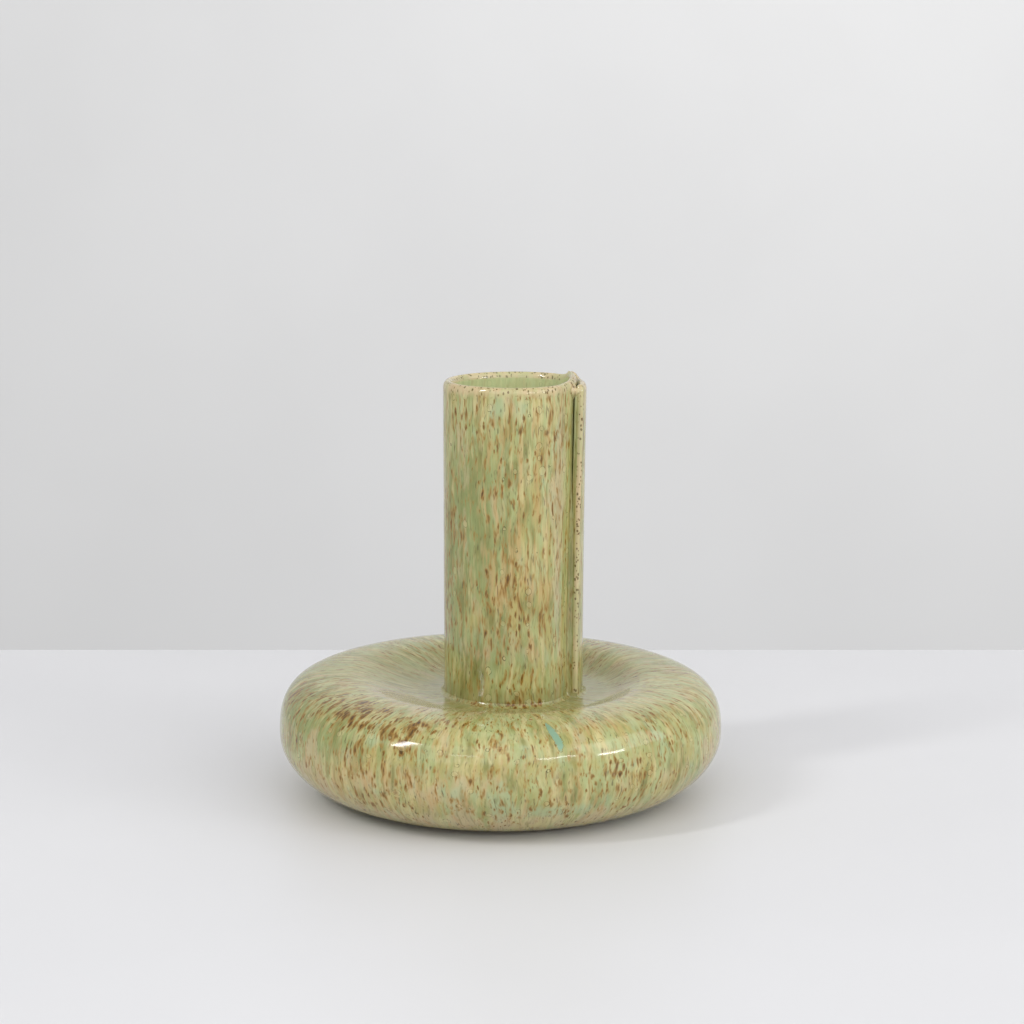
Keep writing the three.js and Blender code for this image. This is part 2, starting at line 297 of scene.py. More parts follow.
def rubbed(line, width):
    """The line averaged with a bell curve of this width along itself, as a wet sponge rubs a curve smooth.
    Past its ends the line goes on as its own mirror image."""
    step = 0.25 * MM
    points = evenly(line, int(line_lengths(line)[-1] / step))
    reach = int(3 * width / step)
    bell = np.exp(-0.5 * (np.arange(-reach, reach + 1) * step / width) ** 2)
    before = 2 * points[0] - points[reach:0:-1]
    after = 2 * points[-1] - points[-2 : -reach - 2 : -1]
    padded = np.concatenate([before, points, after])
    return np.stack([np.convolve(padded[:, axis], bell / bell.sum(), "valid") for axis in (0, 1)], axis=1)


def crown_radius(body):
    """Radius of the crown of the ring."""
    return body.diameter / 2 - body.shoulder_reach


def seat_height(body):
    """Height of the flat under the neck."""
    return body.crown_height - body.dish_depth


def joint_height(body):
    """Height of the inner edge of the bevelled joint between the walls."""
    return body.widest_height + body.joint_rise


def quarter(centre, reach, base, rise, fullness):
    """A superellipse quarter: radius = centre + reach cos^(2/n) t and height = base + rise sin^(2/n) t."""
    turn = np.linspace(0, np.pi / 2, 300)
    across = np.maximum(np.cos(turn), 0) ** (2 / fullness)
    along = np.sin(turn) ** (2 / fullness)
    return np.stack([centre + reach * across, base + rise * along], axis=1)


def upper_quarter(body, depth):
    """Outer curve of the upper wall, drawn in by a depth under its surface."""
    rise = body.crown_height - body.widest_height - depth
    reach = body.shoulder_reach - depth
    return quarter(crown_radius(body), reach, body.widest_height, rise, body.shoulder_fullness)


def lower_quarter(body, depth):
    """Outer curve of the lower wall, drawn in by a depth under its surface."""
    foot_radius = body.diameter / 2 - body.belly_reach
    rise = depth - body.widest_height
    return quarter(foot_radius, body.belly_reach - depth, body.widest_height, rise, body.belly_fullness)


def dish(body, depth):
    """Dish from the crown to the seat: height = seat + half the depth times (1 - cos pi s) of the share s."""
    radius = np.linspace(crown_radius(body), body.seat_radius, 200)
    share = (radius - body.seat_radius) / (crown_radius(body) - body.seat_radius)
    rise = body.dish_depth * (1 - np.cos(np.pi * share)) / 2
    return np.stack([radius, seat_height(body) - depth + rise], axis=1)


def outer_line(body):
    """Outer profile as radius and height, from inside the foot band to well inside the seat, rubbed smooth."""
    foot = np.array([[body.floor_radius - body.floor_bevel, 0]])
    inner = np.array([[body.hole_radius, seat_height(body)]])
    curves = [foot, lower_quarter(body, 0)[::-1], upper_quarter(body, 0)[1:], dish(body, 0)[1:], inner]
    return rubbed(np.concatenate(curves), body.rub)


def round_axis(middle, radius, turn, height):
    """Points round an upright axis: middle + radius sin turn, -radius cos turn, and the height."""
    return np.stack([middle + radius * np.sin(turn), -radius * np.cos(turn), height + 0 * turn], axis=-1)


def by_hand(body, neck, radius, height, turn):
    """Points turned about the axis, with the crown leaning to one side and the dish slid to the neck's axis.
    The lean is a cosine round the body that fades in over the dish and up the shoulder."""
    joint = joint_height(body)
    outward = eased(body.seat_radius, crown_radius(body), radius)
    upward = np.clip((height - joint) / (body.crown_height - joint), 0, 1)
    lean = body.crown_lean * np.cos(turn - body.crown_lean_angle) * outward * upward
    return round_axis(neck.offset * (1 - outward), radius, turn, height - lean)


def waves(first, second, seed, count):
    """Long uneven waves from -1 to 0: a mean of sines of two running values with seeded turns and phases."""
    dice = np.random.default_rng(seed)
    total = 0
    for _ in range(count):
        round_turns = dice.integers(1, 6)
        along_turns = dice.uniform(0.5, 3)
        total = total + np.sin(round_turns * first + along_turns * second + dice.uniform(0, FULL_TURN))
    return (total / count - 1) / 2


def tube_radius(neck, turn, share):
    """Radius of the tube: round, but standing proud towards the outer end of the slab, more so near the rim."""
    proud = mixed(neck.proud_foot, neck.proud_rim, share**2)
    nearness = (neck.proud_start - turn) / (neck.proud_start - neck.lap_angle_rim)
    return neck.radius + proud * np.clip(nearness, 0, 1)


def inner_layer_radius(neck, under, share):
    """Outer radius of the slab's inner layer at an angle past one turn, where it tucks in under the outer end.
    Near the rim the lap gapes, less and less towards the inner end."""
    towards_end = 1 - eased(neck.lap_angle_rim, neck.inner_end, under)
    gape = neck.crevice * eased(0.72, 0.9, share) * towards_end
    tucked = tube_radius(neck, np.maximum(under, neck.tuck_end), share) - neck.slab - neck.slip - gape
    return mixed(neck.radius, tucked, eased(neck.tuck_start, neck.tuck_end, under))


def slab_radius(neck, turn, share):
    """Outer radius of the slab at an angle along its whole length and a share of its height."""
    inner = inner_layer_radius(neck, turn - FULL_TURN, share)
    return np.where(turn < FULL_TURN, tube_radius(neck, turn, share), inner)


def slab_top(neck, seat, turn):
    """Height of the rim along the slab: the inner end rises, and the outer end sinks to a round corner."""
    outer = neck.outer_fall * (1 - eased(neck.lap_angle_rim, neck.outer_fall_end, turn))
    start = FULL_TURN + neck.inner_rise_start
    inner = neck.inner_rise * eased(start, FULL_TURN + neck.inner_end, turn)
    swelling = neck.swelling_rise * np.exp(-(((turn - neck.swelling_angle) / neck.swelling_spread) ** 2))
    into_corner = np.maximum(neck.lap_corner - (turn - neck.lap_angle_rim) * neck.radius, 0)
    drop = neck.lap_corner - np.sqrt(neck.lap_corner**2 - into_corner**2)
    return seat + neck.height - outer + swelling + inner - drop


def lap_angle(neck, share):
    """Angle of the outer end of the slab at a share of the neck's height."""
    return mixed(neck.lap_angle_foot, neck.lap_angle_rim, share)


def hollow(share):
    """A quarter circle's hollow: 1 at share 0, falling to 0 with a level end at share 1."""
    return 1 - np.sqrt(1 - np.clip(1 - share, 0, 1) ** 2)


def foot_radius(neck, turn):
    """Radius of the neck's skin at its foot, with the glaze bead in the corner before the outer end."""
    before = neck.lap_angle_foot - turn
    inner = inner_layer_radius(neck, turn, 0) + neck.bead * hollow(before * neck.radius / neck.bead)
    return np.where(before > 0, inner, tube_radius(neck, turn, 0))


def grid_normals(points, rows_wrap):
    """Unit normals of a grid of points whose columns go round: the cross product of its two differences."""
    around = np.roll(points, -1, axis=1) - np.roll(points, 1, axis=1)
    if rows_wrap:
        along = np.roll(points, -1, axis=0) - np.roll(points, 1, axis=0)
    else:
        along = np.gradient(points, axis=0)
    normals = np.cross(around, along)
    return normals / np.maximum(np.linalg.norm(normals, axis=-1, keepdims=True), 1e-12)


def grid_faces(rows, columns, rows_wrap, columns_wrap):
    """Quads of a grid whose points are counted row by row."""
    row_starts = np.arange(rows if rows_wrap else rows - 1)
    column_starts = np.arange(columns if columns_wrap else columns - 1)
    row, column = np.meshgrid(row_starts, column_starts, indexing="ij")
    next_row = (row + 1) % rows
    next_column = (column + 1) % columns
    corners = [row * columns + column, row * columns + next_column]
    corners += [next_row * columns + next_column, next_row * columns + column]
    return np.stack(corners, axis=-1).reshape(-1, 4)


def lidded_faces(rows, columns):
    """Quads of a grid whose columns go round, and one flat face each over its first and its last row."""
    ring = np.arange(columns)
    lids = [ring[::-1].tolist(), (ring + (rows - 1) * columns).tolist()]
    return grid_faces(rows, columns, False, True).tolist() + lids


def join_grids(grids):
    """Several grids of points, faces and fields as one, whose faces count on from grid to grid."""
    starts = np.cumsum([0] + [points.size // 3 for points, _, _ in grids])
    faces = np.concatenate([faces + start for (_, faces, _), start in zip(grids, starts)])
    fields = {name: np.concatenate([own[name].ravel() for _, _, own in grids]) for name in grids[0][2]}
    return np.concatenate([points.reshape(-1, 3) for points, _, _ in grids]), faces, fields


def new_piece(name, points, faces, fields, material, slot_name, *nodes):
    """A mesh from arrays of points, faces and named fields per point, riding on the vase's one body."""
    mesh = bpy.data.meshes.new(name)
    mesh.from_pydata(points.reshape(-1, 3), [], faces)
    for field, values in fields.items():
        kind, key = ("FLOAT_VECTOR", "vector") if field == "flow" else ("FLOAT", "value")
        attribute = mesh.attributes.new(field, kind, "POINT")
        attribute.data.foreach_set(key, np.ascontiguousarray(values, np.float32).ravel())
    mesh.polygons.foreach_set("use_smooth", np.ones(len(mesh.polygons), bool))
    mesh.materials.append(material)
    mesh.update()
    piece = bpy.data.objects.new(name, mesh)
    bpy.context.scene.collection.objects.link(piece)
    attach(piece, BODY)
    if nodes:
        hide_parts(*nodes)
    return piece


def merge_borders(piece):
    """Merges the points that two grids share and turns all faces outwards."""
    work = bmesh.new()
    work.from_mesh(piece.data)
    bmesh.ops.remove_doubles(work, verts=work.verts, dist=0.002 * MM)
    bmesh.ops.recalc_face_normals(work, faces=work.faces)
    work.to_mesh(piece.data)
    work.free()
    piece.data.update()


def whole_skin(body, neck, segments):
    """The glazed outside of body and foot coil as one grid, with each node's rows of it. Columns go round from
    the front to the right. Rows go from inside the foot band up, over and into the dish."""
    line = outer_line(body)
    split = int(np.argmax(line[:, 1] >= body.widest_height))
    on_seat = (line[:, 0] < body.seat_radius) & (line[:, 1] > body.widest_height)
    lower = evenly(line[: split + 1], LOWER_ROWS)
    upper = evenly(line[split : int(np.argmax(on_seat)) + 1], UPPER_ROWS)
    seat = seat_height(body)
    turn = np.arange(segments) * FULL_TURN / segments

    # The hand waves press the skin in, and fade out before the foot and the seat
    rows = np.concatenate([lower, upper[1:]])
    radius = np.repeat(rows[:, :1], segments, axis=1)
    height = np.repeat(rows[:, 1:], segments, axis=1)
    wave = body.hand_waves * waves(turn[None, :], line_lengths(rows)[:, None] / (30 * MM), seed=5, count=12)
    fade = eased(1 * MM, 12 * MM, height) * eased(body.seat_radius, body.seat_radius + 20 * MM, radius)
    slope = np.gradient(rows, axis=0)
    slope = slope / np.linalg.norm(slope, axis=1, keepdims=True)
    radius = radius + slope[:, 1:] * wave * fade
    height = height - slope[:, :1] * wave * fade

    # The flat runs in to the coil, a hollow quarter circle whose top edge sinks a little into the neck
    inner = foot_radius(neck, turn)[None, :]
    share = np.linspace(0, 1, SEAT_ROWS + 1)[1:, None]
    flat_radius = mixed(body.seat_radius, inner + neck.fillet, share)
    climb = np.linspace(0, np.pi / 2, COIL_ROWS + 1)[1:, None]
    sink = 0.15 * MM * (climb / (np.pi / 2)) ** 4
    coil_radius = inner + neck.fillet * (1 - np.sin(climb)) - sink
    coil_height = seat + neck.fillet * (1 - np.cos(climb)) + 0 * inner

    radius = np.concatenate([radius, flat_radius, coil_radius])
    height = np.concatenate([height, seat + 0 * flat_radius, coil_height])
    points = by_hand(body, neck, radius, height, turn[None, :])
    path = line_lengths(np.stack([radius[:, 0], height[:, 0]], axis=1))
    flat_end = len(rows) + SEAT_ROWS
    return {
        "points": points,
        "normals": grid_normals(points, False),
        "turn": turn,
        "path": path - path[LOWER_ROWS - 1],
        "radius": radius,
        "height": height,
        "lower_wall": slice(0, LOWER_ROWS),
        "upper_wall": slice(LOWER_ROWS - 1, flat_end),
        "foot_coil": slice(flat_end - 1, len(radius)),
    }


def soft_spots(places, turn, along, radius):
    """Sum of soft spots on a surface round the axis, with bell curves round it and along the flow, up to 1."""
    total = 0 * along
    for degrees, place, half_width, half_length, strength in places:
        swing = (turn - np.radians(degrees) + np.pi) % FULL_TURN - np.pi
        round_it = swing * radius / (half_width * MM)
        down_it = (along / MM - place) / half_length
        total = total + strength * np.exp(-(round_it**2) - down_it**2)
    return np.clip(total, 0, 1)


def ring_fields(body, skin, node):
    """What the glaze does over a band of the ring: how it flows down the profile, where it pooled in the dish
    and is darkened there with painted shade, where it shows more of one colour, and where the foot is bare of
    it."""
    radius, height = skin["radius"][skin[node]], skin["height"][skin[node]]
    turn = skin["turn"] + 0 * radius
    path = skin["path"][skin[node], None] + 0 * radius
    # Pooled glaze and painted shade: darkest at the seat, and half as dark over the dish, fading out towards the
    # crown
    deep_pool_and_shade = 1 - eased(42 * MM, 54 * MM, radius)
    shallow_pool_and_shade = 0.5 * (1 - eased(55 * MM, 78 * MM, radius))
    fields = {
        "flow": round_axis(0, PATTERN_RADIUS, turn, PATTERN_SQUEEZE * path),
        "thin": 0 * radius,
        "pool": np.maximum(deep_pool_and_shade, shallow_pool_and_shade),
        "lining": 0 * radius,
        "bare": (1 - eased(0.8 * MM, 1.8 * MM, height)) * (radius > body.seat_radius),
    }
    for field, places in RING_PLACES.items():
        fields[field] = soft_spots(places, turn, path, PATTERN_RADIUS)
    return fields


def neck_fields(neck, seat, points, path, thin, pool):
    """What the glaze does over the neck, with flow coordinates that run straight down it."""
    across, depth, height = (points[..., axis] for axis in range(3))
    across = across - neck.offset
    turn = np.arctan2(across, -depth)
    flow = np.stack([across, depth, path], axis=-1)
    fields = {"flow": flow, "thin": thin + 0 * path, "pool": pool + 0 * path}
    fields["lining"] = fields["bare"] = 0 * path
    for field, places in NECK_PLACES.items():
        fields[field] = soft_spots(places, turn, height - seat, neck.radius)
    return fields


def closed_ring(node, skin, hidden, fields, material):
    """A band of the skin, closed by hidden rows behind it that take the fields of its last row. It keeps the
    whole skin's normals, so that light runs on over the border of two pieces as over one glaze."""
    points = np.concatenate([skin["points"][skin[node]], hidden])
    normals = grid_normals(points, True)
    normals[: -len(hidden)] = skin["normals"][skin[node]]
    for field, values in fields.items():
        fields[field] = np.concatenate([values, np.repeat(values[-1:], len(hidden), axis=0)])
    faces = grid_faces(*points.shape[:2], True, True)
    piece = new_piece("glazed_" + node, points, faces, fields, material, "speckled_glaze", node)
    piece.data.normals_split_custom_set_from_vertices(normals.reshape(-1, 3).tolist())


def closed_wall(node, body, neck, skin, inside, material):
    """One wall as a closed ring: its band of the skin, then its hidden inside line turned about the axis."""
    turn = skin["turn"][None, :]
    hidden = by_hand(body, neck, inside[:, :1] + 0 * turn, inside[:, 1:] + 0 * turn, turn)
    closed_ring(node, skin, hidden, ring_fields(body, skin, node), material)


def make_lower_wall(body, neck, skin, material):
    """Belly from the foot band to the widest line, with the bevels and the inside hidden behind it."""
    joint = joint_height(body)
    upper_inside = upper_quarter(body, body.wall)
    joint_radius = np.interp(joint, upper_inside[:, 1], upper_inside[:, 0])
    curve = evenly(lower_quarter(body, body.wall), 12)
    inside = np.concatenate([[[joint_radius, joint]], curve, [[body.floor_radius, body.floor_thickness]]])
    closed_wall("lower_wall", body, neck, skin, inside, material)


def make_upper_wall(body, neck, skin, material):
    """Shoulder, crown and dish down to the coil, the seat and hole under the neck, and the hidden inside."""
    seat = seat_height(body)
    hole = [[30 * MM, seat], [body.hole_radius, seat], [body.hole_radius, seat - body.wall]]
    under_dish = evenly(dish(body, body.wall)[::-1], 8)
    curve = upper_quarter(body, body.wall)[::-1]
    curve = evenly(curve[curve[:, 1] > joint_height(body)], 12)
    inside = np.concatenate([hole, under_dish, curve[1:]])
    closed_wall("upper_wall", body, neck, skin, inside, material)


def make_foot_coil(body, neck, skin, material):
    """Coil worked to a hollow fillet in the corner of neck and seat, closed just inside the neck."""
    seat = seat_height(body)
    turn = skin["turn"][None, :]
    inner = foot_radius(neck, turn) - 0.6 * MM
    back_height = seat + np.array([[1.5 * MM], [0]]) + 0 * inner
    back = by_hand(body, neck, np.concatenate([inner, inner]), back_height, turn)
    path = skin["path"][skin["foot_coil"], None] + 0 * turn
    path = seat + neck.fillet - (path[-1] - path)
    # The coil takes nearly the full pool colour, which is pooled glaze with painted shade of the corner
    fields = neck_fields(neck, seat, skin["points"][skin["foot_coil"]], path, 0, 0.9)
    closed_ring("foot_coil", skin, back, fields, material)


def neck_stations(neck, count):
    """Distances along the slab, their shares of its length, and how far the section shrinks there, by quarter
    circles that round off both ends."""
    whole = (FULL_TURN + neck.inner_end - neck.lap_angle_rim) * neck.radius
    corner = np.linspace(0, np.pi / 2, 7)
    near = neck.end_round * (1 - np.cos(corner))
    inset = neck.end_round * (1 - np.sin(corner))
    middle = np.linspace(neck.end_round, whole - neck.end_round, count)[1:-1]
    distance = np.concatenate([near, middle, whole - near[::-1]])
    shrink = np.concatenate([inset, 0 * middle, inset[::-1]])
    return distance[:, None], distance[:, None] / whole, shrink[:, None]


def end_cap(neck, seat, section, path):
    """Cut end of the slab: straight steps from each point of the section's outer half to the one opposite. The
    glaze is thin over the outer part of the cut and pools towards the crevice, where the darker pool is also
    painted shade of the crevice."""
    across = np.linspace(0, 1, 7)
    half = len(section) // 2 + 1
    points = mixed(section[:half, None], section[::-1][:half, None], across[None, :, None])
    path = np.minimum(mixed(path[:half, None], path[::-1][:half, None], across), points[..., 2])
    return points, neck_fields(neck, seat, points, path, 1 - eased(0.28, 0.48, across), eased(0.4, 0.7, across))


def make_neck(body, neck, segments, material):
    """Rolled slab: upright sections carried along the tube, up outside, over a round lip and down inside."""
    seat = seat_height(body)
    last = FULL_TURN + neck.inner_end
    distance, along, shrink = neck_stations(neck, int(segments * STATIONS_PER_SEGMENT))
    top_turn = mixed(neck.lap_angle_rim, last, along)
    thinning = eased(FULL_TURN + neck.thinning_start, last, top_turn)
    half = mixed(neck.slab, neck.thin_end, thinning) / 2
    top = slab_top(neck, seat, top_turn)
    spring = top - neck.lip

    # Up the outer face (side 1), over the lip and down the inner face (side -1)
    climb = np.linspace(0, 1, FACE_POINTS)
    lip = np.linspace(0, np.pi, LIP_STEPS + 1)[1:-1]
    side = np.concatenate([np.ones(FACE_POINTS), np.cos(lip), -np.ones(FACE_POINTS)])
    face_height = seat + climb * (spring - seat)
    lip_height = spring + (neck.lip - shrink) * np.sin(lip)
    height = np.concatenate([face_height, lip_height, face_height[:, ::-1]], axis=1)
    share = (np.minimum(height, seat + neck.height) - seat) / neck.height
    turn = mixed(lap_angle(neck, share), last, along)
    fade = eased(seat + 4 * MM, seat + 30 * MM, height)
    wave = neck.hand_waves * waves(turn, height / (28 * MM), seed=9, count=10) * fade
    radius = slab_radius(neck, turn, share) - half + side * (half - shrink) + wave
    points = round_axis(neck.offset, radius, turn, height)

    # The pattern's path climbs the outer face, crosses the lip and goes on along the inner face
    over = np.concatenate([0 * climb, lip, np.pi + 0 * climb])
    mirrored = 2 * spring - face_height[:, ::-1]
    path = np.concatenate([face_height, spring + 0 * lip, mirrored], axis=1) + half * over

    # The glaze is thin on the lip and on the edge of the cut end, and pools at the foot and before the lap,
    # where the darker pool is also painted shade of the corner and the crevice
    thin_lip = 0.8 * eased(top - 6.5 * MM, top - 2 * MM, height) * (side > -0.99)
    thin_edge = (1 - eased(0.8 * MM, 2.2 * MM, distance)) * (side > 0.3)
    foot_pool_and_shade = 1 - eased(seat + 3 * MM, seat + 14 * MM, height)
    before = (FULL_TURN + lap_angle(neck, share) - turn) * neck.radius
    lap_pool_and_shade = (1 - eased(0.5 * MM, 4 * MM, before)) * (before > -20 * MM)
    pool = 0.8 * np.maximum(foot_pool_and_shade, lap_pool_and_shade)
    fields = neck_fields(neck, seat, points, path, np.maximum(thin_lip, thin_edge), pool)
    # Painted light on the inner face of the neck, growing towards the rim
    fields["lining"] = (side < -0.2) * eased(seat + 0.5 * neck.height, seat + 0.9 * neck.height, height)

    grids = [(points, grid_faces(*height.shape, False, True)[:, ::-1], fields)]
    for station, winding in ((0, 1), (-1, -1)):
        cap, cap_fields = end_cap(neck, seat, points[station], path[station])
        grids.append((cap, grid_faces(*cap.shape[:2], False, False)[:, ::winding], cap_fields))
    piece = new_piece("glazed_neck", *join_grids(grids), material, "speckled_glaze", "neck_slab")
    merge_borders(piece)


def make_bead(body, neck, material):
    """Glaze in the crevice of the lap: a hollow quarter circle from the inner layer to the cut end, sunk into
    both. Its size narrows to nothing below the rim, and follows a bell curve where a plug closes the lap."""
    seat = seat_height(body)
    sink = 0.05 * MM
    height = seat + np.linspace(1 * MM, neck.height - 0.5 * MM, 240)[:, None]
    share = (height - seat) / neck.height
    full = neck.height - neck.bead_top
    bead = neck.bead * (1 - eased(full - 50 * MM, full, height - seat))
    plug = neck.plug * np.exp(-(((height - seat - neck.height + neck.plug_middle) / neck.plug_reach) ** 2))
    size = np.maximum(np.maximum(bead, plug), sink)
    step = np.linspace(1, 0, 9)
    end = lap_angle(neck, share)
    turn = end - step * size / neck.radius
    radius = inner_layer_radius(neck, turn, share) + size * hollow(step) - sink
    corner = end + 0.6 * MM / neck.radius
    deep = inner_layer_radius(neck, corner, share) - 0.4 * MM
    turn = np.concatenate([turn, corner, corner], axis=1)
    radius = np.concatenate([radius, radius[:, -1:], deep], axis=1)
    points = round_axis(neck.offset, radius, turn, height)
    path = height + 0 * turn
    thin = eased(seat + neck.height - 7.5 * MM, seat + neck.height - 3 * MM, path)
    # The bead takes the pool colour, which is pooled glaze with painted shade of the crevice, fading to thin
    # glaze at the rim
    fields = neck_fields(neck, seat, points, path, 0.8 * thin, 0.85 * (1 - thin))
    piece = new_piece("glaze_bead", points, lidded_faces(*turn.shape), fields, material, "speckled_glaze")
    merge_borders(piece)


def make_floor(body, segments, material):
    """Floor slab: a disc with a sloped edge whose underside is very slightly hollow, as a dried slab is."""
    columns = segments // 2
    turn = np.arange(columns) * FULL_TURN / columns
    gap = 0.1 * MM
    outer = body.floor_radius - body.floor_bevel - gap
    under = np.linspace(0.5 * MM, outer, 24)
    over = np.linspace(body.floor_radius - gap, 0.5 * MM, 12)
    radius = np.concatenate([under, over])[:, None]
    height = np.concatenate([0.3 * MM * (1 - (under / outer) ** 2), body.floor_thickness + 0 * over])[:, None]
    points = round_axis(0, radius, turn, height)
    faces = lidded_faces(*points.shape[:2])
    piece = new_piece("bare_floor_slab", points, faces, {}, material, "bare_stoneware", "floor_slab")
    merge_borders(piece)
    piece.data.set_sharp_from_angle(angle=np.radians(40))


# Materials


def add(tree, kind, inputs=None, **settings):
    """Adds a node, makes its settings, links or sets its inputs by name or place, and gives its outputs."""
    node = tree.nodes.new("ShaderNode" + kind)
    for name, value in settings.items():
        setattr(node, name, value)
    for place, value in (inputs or {}).items():
        socket = node.inputs[place]
        if isinstance(value, bpy.types.NodeSocket):
            tree.links.new(value, socket)
        else:
            socket.default_value = value
    return node.outputs


def new_material(name):
    """An empty node material and its tree."""
    material = bpy.data.materials.new(name)
    material.use_nodes = True
    material.node_tree.nodes.clear()
    return material, material.node_tree


def per_size(millimetres):
    """Scale of a pattern on coordinates in metres, from the real size of one of its features."""
    return 1000 / millimetres


def cloud(tree, flow, width, stretch, detail=3.0):
    """Values of a cloud pattern about 0.5 whose patches have a real width in millimetres and are this much
    longer along the flow."""
    shrunk = add(tree, "VectorMath", {0: flow, 1: (1, 1, 1 / stretch)}, operation="MULTIPLY")[0]
    settings = {"Vector": shrunk, "Scale": per_size(width), "Detail": detail, "Roughness": 0.52}
    return add(tree, "TexNoise", settings)[0]


def layered(tree, shade, layers):
    """Lays colours over a first one in turn. Each layer is its colour, a value, the low and the high of that
    value between which the colour comes in, and how strongly it covers at most."""
    for over, value, low, high, strength in layers:
        rise = {"Value": value, "From Min": low, "From Max": high, "To Max": strength}
        mask = add(tree, "MapRange", rise, interpolation_type="SMOOTHSTEP")[0]
        under, over = (end if isinstance(end, bpy.types.NodeSocket) else (*end, 1) for end in (shade, over))
        shade = add(tree, "Mix", {0: mask, 6: under, 7: over}, data_type="RGBA")[2]
    return shade


def drops(tree, flow, cell, stretch, share, radius, ragged):
    """How deep inside a scattered drop each point lies, in cells of a real size in millimetres drawn out along
    the flow. A share of the cells holds a drop of 0.6 to 1.35 of a radius in cells, and fine noise makes its
    edge ragged. An empty cell lies far below any drop."""
    shrunk = add(tree, "VectorMath", {0: flow, 1: (1, 1, 1 / stretch)}, operation="MULTIPLY")[0]
    cells = add(tree, "TexVoronoi", {"Vector": shrunk, "Scale": per_size(cell)})
    dice = add(tree, "SeparateColor", {0: cells["Color"]})
    fine = add(tree, "TexNoise", {"Vector": shrunk, "Scale": per_size(cell / 3), "Detail": 2.0})[0]
    reach = {"Value": dice[1], "To Min": radius * 0.6 - ragged / 2, "To Max": radius * 1.35 - ragged / 2}
    size = add(tree, "MapRange", reach)[0]
    edge = add(tree, "Math", {0: fine, 1: ragged, 2: size}, operation="MULTIPLY_ADD")[0]
    depth = add(tree, "Math", {0: edge, 1: cells["Distance"]}, operation="SUBTRACT")[0]
    empty = add(tree, "Math", {0: dice[0], 1: share}, operation="GREATER_THAN")[0]
    return add(tree, "Math", {0: empty, 1: -9, 2: depth}, operation="MULTIPLY_ADD")[0]


def line_at(tree, value, level, width):
    """1 in the middle of a thin line where a value passes a level, falling to 0 at a width to both sides."""
    away = add(tree, "Math", {0: value, 1: level}, operation="SUBTRACT")[0]
    size = add(tree, "Math", {0: away}, operation="ABSOLUTE")[0]
    return add(tree, "MapRange", {"Value": size, "From Max": width, "To Min": 1, "To Max": 0})[0]


